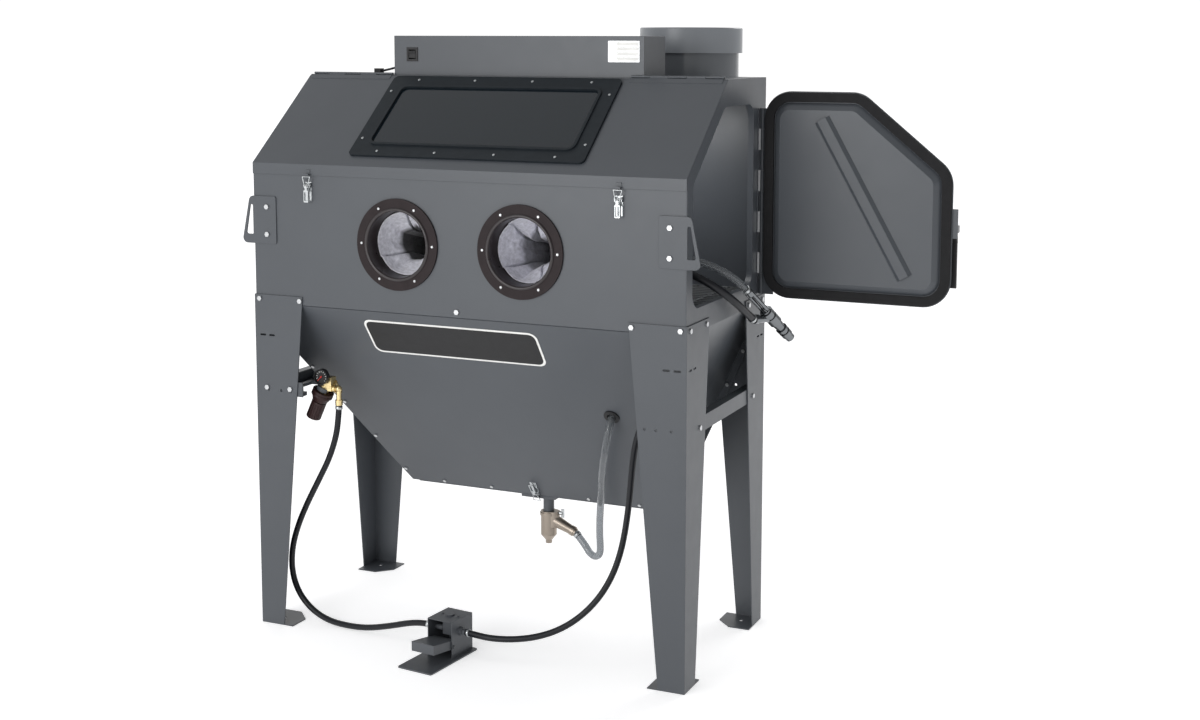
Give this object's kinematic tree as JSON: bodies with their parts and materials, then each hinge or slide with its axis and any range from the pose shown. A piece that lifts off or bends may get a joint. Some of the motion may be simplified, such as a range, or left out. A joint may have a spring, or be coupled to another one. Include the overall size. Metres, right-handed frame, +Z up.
{
  "type": "sandblast cabinet",
  "caption": "Floor-standing blasting cabinet on tapered legs with a sloped window lid, glove ports, side loading door, media hopper, foot pedal, regulator, gun and dust collector.",
  "frame": {"origin": "centre of the footprint on the floor, midway between the four legs", "axes": "+X to the operator's right, towards the loading door; +Y from the operator to the back; +Z up"},
  "size_m": [1.7798, 1.0076, 1.6],
  "materials": {
    "cabinet_paint": "smooth semi-gloss paint",
    "bare_steel": "zinc-plated",
    "dark_plastic": "fine matt",
    "glove_cloth": "worn grey cotton",
    "seal_rubber": "foam rubber",
    "hose_rubber": "smooth rubber",
    "hose_clear": "translucent plastic",
    "window_glass": "clear",
    "lamp_white": "frosted",
    "filter_paper": "pleated paper",
    "brass": "machined",
    "pedal_paint": "semi-gloss paint",
    "gauge_case": "white dial in a dark rim",
    "needle_red": "painted"
  },
  "bodies": {
    "cabinet": {"back_panel": "cabinet_paint", "blast_gun": "bare_steel", "body_bolts": "bare_steel", "carry_handles": "cabinet_paint", "collector_body": "cabinet_paint", "collector_cap": "cabinet_paint", "collector_filter": "filter_paper", "collector_motor": "dark_plastic", "control_box": "cabinet_paint", "front_panel": "cabinet_paint", "glove_rings": "dark_plastic", "gloves": "glove_cloth", "gun_hose": "hose_rubber", "hinge_leaves": "cabinet_paint", "hinge_pins": "bare_steel", "hopper_back": "cabinet_paint", "hopper_base": "cabinet_paint", "hopper_front": "cabinet_paint", "hopper_sides": "cabinet_paint", "hose_fittings": "brass", "lamp_cable": "hose_rubber", "lamp_lens": "window_glass", "lamp_unit": "lamp_white", "latch_bases": "bare_steel", "left_side_panel": "cabinet_paint", "legs": "cabinet_paint", "media_hose": "hose_clear", "outlet_plate": "cabinet_paint", "pedal_base": "pedal_paint", "pedal_hose": "hose_rubber", "pickup_valve": "brass", "plastic_fittings": "dark_plastic", "pressure_gauge": "gauge_case", "regulator_body": "dark_plastic", "regulator_bracket": "cabinet_paint", "right_side_panel": "cabinet_paint", "roof_panel": "cabinet_paint", "side_braces": "cabinet_paint", "supply_hose": "hose_rubber", "work_grate": "bare_steel"},
    "lid": {"lid_panel": "cabinet_paint", "window_frame": "dark_plastic", "window_glass": "window_glass", "lid_hardware": "bare_steel"},
    "door": {"door_panel": "cabinet_paint", "door_gasket": "seal_rubber", "door_stiffener": "cabinet_paint"},
    "door_handle": {"door_handle": "dark_plastic"},
    "rocker": {"switch_rocker": "dark_plastic"},
    "fan": {"collector_fan": "dark_plastic"},
    "left_lever": {"left_latch_lever": "bare_steel"},
    "left_loop": {"left_latch_loop": "bare_steel"},
    "right_lever": {"right_latch_lever": "bare_steel"},
    "right_loop": {"right_latch_loop": "bare_steel"},
    "outlet_lever": {"outlet_latch_lever": "bare_steel"},
    "outlet_loop": {"outlet_latch_loop": "bare_steel"},
    "thumb_screw": {"pickup_thumb_screw": "bare_steel"},
    "knob": {"regulator_knob": "dark_plastic"},
    "needle": {"gauge_needle": "needle_red"},
    "pedal": {"pedal_tread": "pedal_paint"}
  },
  "joints": [
    {"name": "lid_swing", "type": "hinge", "parent": "cabinet", "child": "lid", "pos_m": [0, -0.007, 1.4735], "axis": [-1, 0, 0], "range_deg": [0, 60]},
    {"name": "door_swing", "type": "hinge", "parent": "cabinet", "child": "door", "pos_m": [0.621, 0.225, 1.148], "axis": [0, 0, 1], "range_deg": [-52, 80]},
    {"name": "door_handle_turn", "type": "hinge", "parent": "door", "child": "door_handle", "pos_m": [1.118, 0.24, 1.098], "axis": [1, 0, 0], "range_deg": [0, 60]},
    {"name": "switch_rock", "type": "hinge", "parent": "cabinet", "child": "rocker", "pos_m": [-0.294, 0.009, 1.5255], "axis": [-1, 0, 0], "range_deg": [0, 14]},
    {"name": "fan_spin", "type": "hinge", "parent": "cabinet", "child": "fan", "pos_m": [0.336, 0.44, 1.41], "axis": [0, 0, 1], "continuous": true},
    {"name": "left_lever_lift", "type": "hinge", "parent": "cabinet", "child": "left_lever", "pos_m": [-0.438, -0.287, 1.191], "axis": [-1, 0, 0], "range_deg": [0, 110]},
    {"name": "left_loop_swing", "type": "hinge", "parent": "left_lever", "child": "left_loop", "pos_m": [-0.438, -0.2915, 1.185], "axis": [-1, 0, 0], "range_deg": [-132, 0]},
    {"name": "right_lever_lift", "type": "hinge", "parent": "cabinet", "child": "right_lever", "pos_m": [0.438, -0.287, 1.191], "axis": [-1, 0, 0], "range_deg": [0, 110]},
    {"name": "right_loop_swing", "type": "hinge", "parent": "right_lever", "child": "right_loop", "pos_m": [0.438, -0.2915, 1.185], "axis": [-1, 0, 0], "range_deg": [-132, 0]},
    {"name": "outlet_lever_lift", "type": "hinge", "parent": "cabinet", "child": "outlet_lever", "pos_m": [0.018, 0.10491, 0.3262], "axis": [1, 0, 0], "range_deg": [0, 110]},
    {"name": "outlet_loop_swing", "type": "hinge", "parent": "outlet_lever", "child": "outlet_loop", "pos_m": [0.018, 0.09776, 0.32844], "axis": [1, 0, 0], "range_deg": [-132, 0]},
    {"name": "thumb_screw_turn", "type": "hinge", "parent": "cabinet", "child": "thumb_screw", "pos_m": [0.076, 0.15, 0.266], "axis": [1, 0, 0], "range_deg": [0, 720]},
    {"name": "knob_turn", "type": "hinge", "parent": "cabinet", "child": "knob", "pos_m": [-0.449, -0.22, 0.631], "axis": [0.4179, 0, 0.9085], "range_deg": [0, 720]},
    {"name": "needle_turn", "type": "hinge", "parent": "cabinet", "child": "needle", "pos_m": [-0.438, -0.242, 0.68], "axis": [0, 1, 0], "range_deg": [0, 270]},
    {"name": "pedal_press", "type": "hinge", "parent": "cabinet", "child": "pedal", "pos_m": [-0.04396, -0.30708, 0.033], "axis": [0.994, -0.1097, 0], "range_deg": [0, 12], "stiffness_Nm_per_rad": 1.2, "springref_deg": -20.05}
  ],
  "couplings": [
    {"joint": "left_loop_swing", "follows": "left_lever_lift", "ratio": -1.2},
    {"joint": "right_loop_swing", "follows": "right_lever_lift", "ratio": -1.2},
    {"joint": "outlet_loop_swing", "follows": "outlet_lever_lift", "ratio": -1.2},
    {"joint": "needle_turn", "follows": "knob_turn", "ratio": 0.375}
  ]
}
